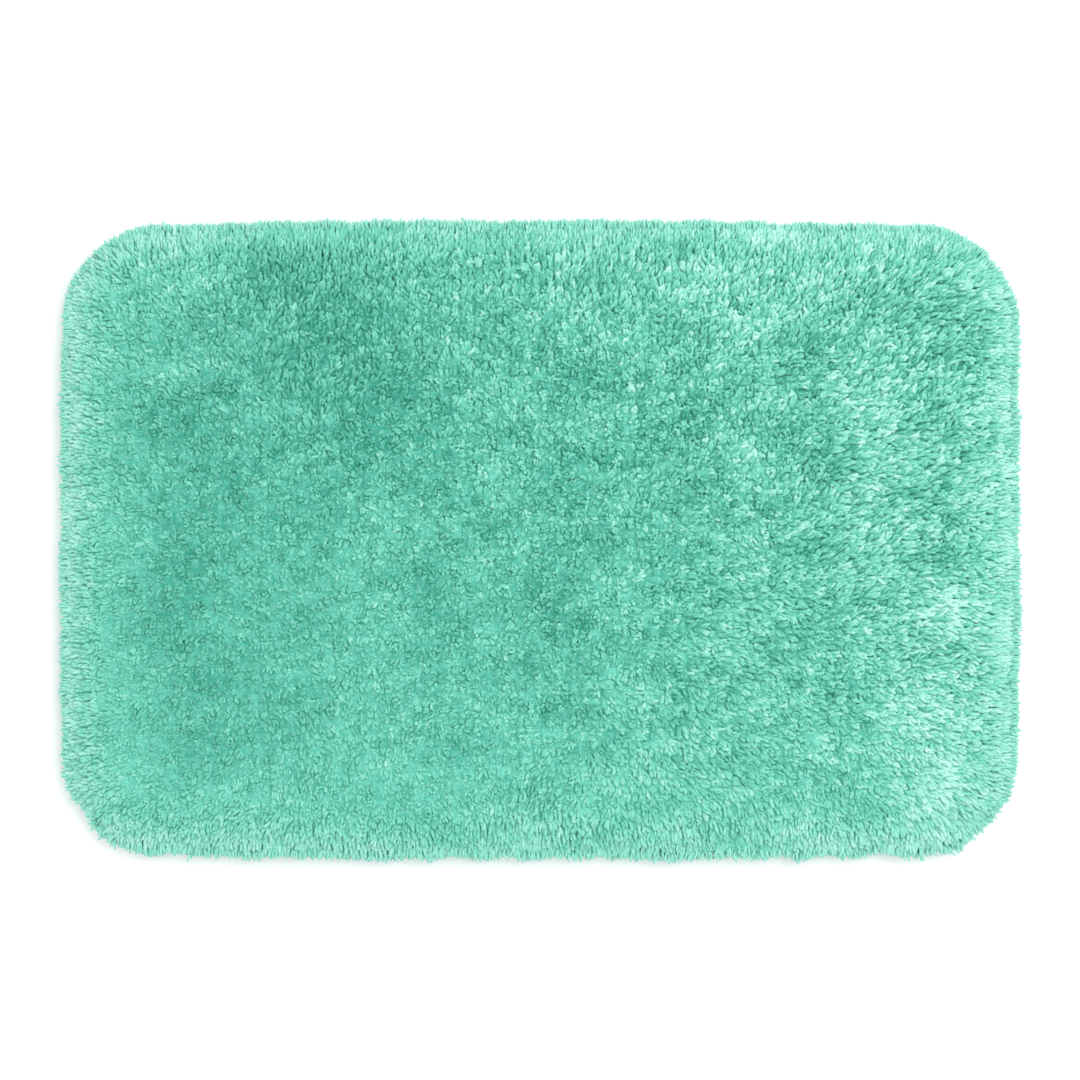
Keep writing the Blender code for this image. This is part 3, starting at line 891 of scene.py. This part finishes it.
def edge_slab(name, outset, bottom, top, round_off):
    """A flat layer inside the cut edge moved outwards by outset, its arrises taken off."""
    steps = ((-round_off, bottom), (0, bottom + round_off), (0, top - round_off), (-round_off, top))
    rings = [
        np.column_stack([edge_loop(outset + inset, EDGE_POINTS), np.full(EDGE_POINTS, height)])
        for inset, height in steps
    ]
    return solid_of(name, *stacked(rings))


def make_primary_cloth():
    mesh = edge_slab("primary_cloth", 0.0, cloth_low.z, cloth_high.z, round_off=0.0002)
    return link(mesh.name, mesh, woven_backing_cloth(), "primary_backing")


def make_latex_coat():
    mesh = edge_slab("latex_coat", -COAT_INSET, coat_low.z, coat_high.z, round_off=0.0003)
    return link(mesh.name, mesh, cured_latex(), "latex_precoat")


def notched_ring(outset, height, inset):
    """The cut edge moved outwards by outset, with the label's notch cut into its front side; inset
    is how far the notch's walls stand back."""
    left, right = label_low.x - LABEL_CLEARANCE - inset, label_high.x + LABEL_CLEARANCE + inset
    end = label_high.y + LABEL_CLEARANCE + inset
    loop = edge_loop(outset, EDGE_POINTS)
    middle = edge_loop(-TAPE_LEG, EDGE_POINTS)
    mouth = 0.003  # each side of the label, where the outline's own points make way for the notch
    inside = (middle[:, 0] > label_low.x - mouth) & (middle[:, 0] < label_high.x + mouth)
    inside &= middle[:, 1] < 0
    first, last = np.flatnonzero(inside)[[0, -1]]
    side = loop[[first, last], 1]
    notch = [(left, side[0]), (left, end), (right, end), (right, side[1])]
    flat = np.concatenate([loop[:first], notch, loop[last + 1 :]])
    return np.column_stack([flat, np.full(len(flat), height)])


def moulded_dots():
    """Round grip dots under the sheet, each row moved half a pitch along from the last: each is a
    ten-sided plug with a sloping wall and a flat foot, its root sunk a little into the sheet. The
    dots keep clear of the tape's leg and of the label."""
    sides, sunk = 10, 0.0002
    from_tape, from_label = 0.0075, 0.0060
    row_step = DOT_PITCH * np.sqrt(3) / 2
    rows, columns = int(CLOTH_WIDTH / row_step), int(CLOTH_LENGTH / DOT_PITCH) + 1
    across, along = np.meshgrid(np.arange(columns), np.arange(rows) - (rows - 1) / 2)
    across = across - (columns - 1) / 2
    x = ((across + 0.5 * (np.arange(rows) % 2)[:, None] - 0.25) * DOT_PITCH).ravel()
    y = (along * row_step).ravel()
    keep = edge_distance(x, y)[0] < -(TAPE_LEG + from_tape)
    reach = (label_high.x - label_low.x) / 2 + from_label
    near_x = np.abs(x - (label_low.x + label_high.x) / 2) < reach
    keep &= ~(near_x & (y < label_high.y + from_label))
    x, y = x[keep], y[keep]
    turn = np.arange(sides) * 2 * np.pi / sides
    rings = []
    for radius, height in ((DOT_RADIUS, DOT_HEIGHT + sunk), (0.8 * DOT_RADIUS, 0.0)):
        ring = np.stack([radius * np.cos(turn), radius * np.sin(turn), np.full(sides, height)], axis=1)
        rings.append(ring)
    shape, faces = stacked(rings)
    points = shape + np.column_stack([x, y, np.zeros(x.size)])[:, None]
    return points.reshape(-1, 3), faces, x.size


def make_grip_sheet():
    """The rubber sheet inside the tape, notched for the label, standing on its dots."""
    low_round, top_round = 0.0004, 0.0003  # its arrises
    steps = [(low_round, DOT_HEIGHT), (0, DOT_HEIGHT + low_round)]
    steps += [(0, GRIP_TOP - top_round), (top_round, GRIP_TOP)]
    sheet_points, sheet_faces = stacked([notched_ring(-GRIP_INSET - back, z, back) for back, z in steps])
    dot_points, dot_faces, dots = moulded_dots()
    per_dot = len(dot_points) // dots
    starts = len(sheet_points) + np.arange(dots) * per_dot
    faces = sheet_faces + [face + start for start in starts for face in dot_faces]
    mesh = solid_of("grip_sheet", np.concatenate([sheet_points, dot_points]), faces)
    return link(mesh.name, mesh, moulded_rubber(), "nonslip_backing")


def carried_round(section, place, closed):
    """A closed section of (offset from the cut edge, height) points, one section for each place
    along the edge, joined from place to place; the points, and the walls' four corners."""
    edge, out = edge_walk(place)
    count, corners = section.shape[:2]
    points = np.zeros((count, corners, 3))
    points[..., :2] = edge[:, None] + section[..., :1] * out[:, None]
    points[..., 2] = section[..., 1]
    step = np.arange(count if closed else count - 1)[:, None]
    corner = np.arange(corners)
    here, there = step * corners, (step + 1) % count * corners
    beside = (corner + 1) % corners
    walls = np.stack([here + corner, here + beside, there + beside, there + corner], axis=-1)
    return bowed(points).reshape(-1, 3), walls.reshape(-1, 4)


def map_round(mesh, corners, run, girth):
    """The map "cloth": u runs along the mat's edge in metres, and v round the section. A face that
    crosses the map's end has its low corners moved on by the whole way round."""
    layer = mesh.uv_layers.new(name="cloth")
    index = np.zeros(len(mesh.loops), np.int32)
    mesh.loops.foreach_get("vertex_index", index)
    uv = np.stack([run[index // corners], girth[index % corners]], axis=1)
    per_face = np.zeros(len(mesh.polygons), np.int32)
    mesh.polygons.foreach_get("loop_total", per_face)
    face = np.repeat(np.arange(len(per_face)), per_face)
    for axis, whole in ((0, EDGE_LENGTH), (1, girth[-1] * corners / (corners - 1))):
        high = np.full(len(per_face), -np.inf)
        np.maximum.at(high, face, uv[:, axis])
        uv[high[face] - uv[:, axis] > whole / 2, axis] += whole
    layer.data.foreach_set("uv", uv.astype(np.float32).ravel())


def folded_side(x, radius, bottom, top):
    """One side of the tape's section, from the end of its lower leg to that of its upper leg: two
    flat legs joined by an upright web, with a quarter-circle fold at each end of the web."""
    turn = np.radians([0, 45, 90])
    side = [(-TAPE_LEG, bottom), (-SEAM_INSET, bottom)]
    side += [(x + radius * np.sin(a), bottom + radius - radius * np.cos(a)) for a in turn]
    side += [(x + radius * np.cos(a), top - radius + radius * np.sin(a)) for a in turn]
    return side + [(-SEAM_INSET, top), (-TAPE_LEG, top)]


def make_tape():
    """The binding tape: an upper leg on the cloth, a web round the cut edge with two round folds,
    and a lower leg, drawn in slightly by every stitch; its ends meet at the middle of the back."""
    low, high, thick = tape_low.z, tape_high.z, TAPE_THICKNESS
    fold = 0.1 * thick
    outside = folded_side(TAPE_CLEARANCE, thick, low, high)
    inside = folded_side(TAPE_CLEARANCE - fold, fold, low + thick, high - thick)
    section = np.array(outside + inside[::-1])
    count = 2 * int(EDGE_LENGTH / STITCH_LENGTH)
    gap = TAPE_END_GAP / EDGE_LENGTH
    place = gap / 2 + np.linspace(0, 1, count) * (1 - gap)
    sections = np.repeat(section[None], count, axis=0)
    draws = np.random.default_rng(SEED + 2)
    pinch = 0.00006 * (np.arange(count) % 2) + 0.00002 * draws.normal(0, 1, count)
    seam = np.abs(section[:, 0] + SEAM_INSET) < 1e-6
    toward = np.where(section[:, 1] > (low + high) / 2, -1, 1)
    sections[..., 1] += pinch[:, None] * (seam * toward)
    leg_end = np.abs(section[:, 0] + TAPE_LEG) < 1e-6
    waver = 0.0002 * ripple(place * EDGE_LENGTH, 0 * place, 0.05, draws)
    sections[..., 0] += waver[:, None] * leg_end
    points, walls = carried_round(sections, place, False)
    half = len(outside)
    strip = np.arange(half - 1)
    across = 2 * half - 1 - strip
    cap = np.stack([strip, strip + 1, across - 1, across], axis=1)
    mesh = solid_of("binding_tape", points, [*walls, *cap, *(cap[:, ::-1] + (count - 1) * 2 * half)])
    steps = np.linalg.norm(np.diff(section, axis=0), axis=1)
    map_round(mesh, 2 * half, place * EDGE_LENGTH, np.append(0, np.cumsum(steps)))
    piece = link(mesh.name, mesh, ribbed_tape(), "edge_binding")
    return piece, steps[: half - 1].sum()


def make_thread(name, node, rest, dip):
    """One thread of the lockstitch, five-sided: it lies at the height rest between its needle holes
    and dips into each of them by dip (upwards if it is below zero)."""
    sides = 5
    shares, dips = np.array([0.0, 0.16, 0.50, 0.84]), np.array([1.0, 0.12, 0.0, 0.12])
    stitches = int(EDGE_LENGTH / STITCH_LENGTH)
    place = ((np.arange(stitches)[:, None] + shares) / stitches).ravel()
    height = np.tile(rest - dip * dips, stitches)
    turn = np.arange(sides) * 2 * np.pi / sides + np.pi / 2
    section = THREAD_RADIUS * np.stack([np.cos(turn), np.sin(turn)], axis=1)
    sections = section + np.stack([np.full(place.size, -SEAM_INSET), height], axis=1)[:, None]
    points, walls = carried_round(sections, place, True)
    mesh = solid_of(name, points, walls)
    map_round(mesh, sides, place * EDGE_LENGTH, np.arange(sides) / sides)
    mesh.shade_smooth()
    return link(mesh.name, mesh, twisted_thread(), node)


def make_label():
    """A blank satin ribbon caught under the tape: flat where it is caught, then sinking towards the
    floor as a smooth step with a slight wave across it; a thin closed body."""
    across, along = 12, 20
    caught, slope = 0.010, 0.018  # the lengths of its caught end and of its way down
    drop, swell = 0.0010, 0.00012  # how far it sinks, and the height of its wave
    u, v = np.meshgrid(np.linspace(0, 1, across + 1), np.linspace(0, 1, along + 1))
    width, length = label_high.x - label_low.x, label_high.y - label_low.y
    sink = np.clip((v * length - caught) / slope, 0, 1)
    fall = drop * sink**2 * (3 - 2 * sink)
    wave = swell * np.sin(2 * np.pi * (1.3 * u + 0.8 * v)) * sink
    thick = 0.8 * (label_high.z - label_low.z)
    x, y = (label_low.x + u * width).ravel(), (label_low.y + v * length).ravel()
    low = (label_low.z - fall + wave).ravel()
    points = np.concatenate([np.column_stack([x, y, low + up]) for up in (0, thick)])
    grid = np.arange((across + 1) * (along + 1)).reshape(along + 1, across + 1)
    cells = np.stack([grid[:-1, :-1], grid[:-1, 1:], grid[1:, 1:], grid[1:, :-1]], axis=-1)
    cells = cells.reshape(-1, 4)
    rim = np.concatenate([grid[0], grid[1:, -1], grid[-1, -2::-1], grid[-2:0:-1, 0]])
    after = np.roll(rim, -1)
    walls = np.stack([rim, after, after + grid.size, rim + grid.size], axis=1)
    mesh = solid_of("satin_label", points, [*cells[:, ::-1], *(cells + grid.size), *walls])
    layer = mesh.uv_layers.new(name="cloth")
    index = np.zeros(len(mesh.loops), np.int32)
    mesh.loops.foreach_get("vertex_index", index)
    flat = np.stack([(u * width).ravel(), (v * length).ravel()], axis=1)
    layer.data.foreach_set("uv", flat[index % grid.size].astype(np.float32).ravel())
    mesh.shade_smooth()
    piece = link(mesh.name, mesh, satin_ribbon(), "care_label")
    return piece, (width, length)


def flat_area(outset):
    """The area inside the cut edge moved outwards by outset, bows included: the shoelace sum."""
    x, y = edge_loop(outset, 2000).T
    return 0.5 * abs(np.sum(x * np.roll(y, -1) - y * np.roll(x, -1)))


# ---------------------------------------------------------------- camera, floor and light


def make_camera():
    """A long lens straight above the middle of the mat."""
    lens = bpy.data.cameras.new("camera")
    lens.lens, lens.sensor_width = 85, 36
    lens.clip_end = 50
    camera = bpy.data.objects.new("camera", lens)
    frame_width = 1.004  # what the picture takes in at the height of the pile's tips
    camera.location = (0, 0, frame_width * lens.lens / lens.sensor_width + PILE_TOP)
    bpy.context.scene.collection.objects.link(camera)
    bpy.context.scene.camera = camera


def make_studio():
    """A white floor, just clear of the dots' feet, an even white sky, and one round soft key light
    turned towards the middle of the mat."""
    bpy.ops.mesh.primitive_plane_add(size=40, location=(0, 0, -0.0001))
    floor = bpy.context.active_object
    floor.name = "floor"
    floor.data.materials.append(white_floor())
    world = bpy.data.worlds.new("studio")
    world.use_nodes = True
    sky = world.node_tree.nodes["Background"]
    sky.inputs["Color"].default_value = (1, 1, 1, 1)
    sky.inputs["Strength"].default_value = 1.10
    bpy.context.scene.world = world
    key = bpy.data.lights.new("key", "AREA")
    key.shape, key.size, key.energy = "DISK", 1.8, 30
    holder = bpy.data.objects.new("key", key)
    holder.location = (1.1, 0.8, 2.6)
    holder.rotation_euler = (-holder.location).to_track_quat("-Z", "Y").to_euler()
    bpy.context.scene.collection.objects.link(holder)
    bpy.context.scene.view_settings.view_transform = "Standard"


make_camera()
make_studio()
bands, yarn_lines, yarn_tones = make_pile(plush_yarn())
depth = make_pile_depth(loose_fibre(), yarn_lines, yarn_tones)
cloth = make_primary_cloth()
coat = make_latex_coat()
grip = make_grip_sheet()
tape, tape_width = make_tape()
thread_lift, thread_dip = THREAD_RADIUS + 0.0001, 0.0009
needle = make_thread(
    "needle_thread", "binding_needle_thread", tape_high.z + thread_lift, thread_dip
)
bobbin = make_thread(
    "bobbin_thread", "binding_bobbin_thread", tape_low.z - thread_lift, -thread_dip
)
label, label_flat = make_label()

flat_area(0)
flat_area(-COAT_INSET)
flat_area(-GRIP_INSET)
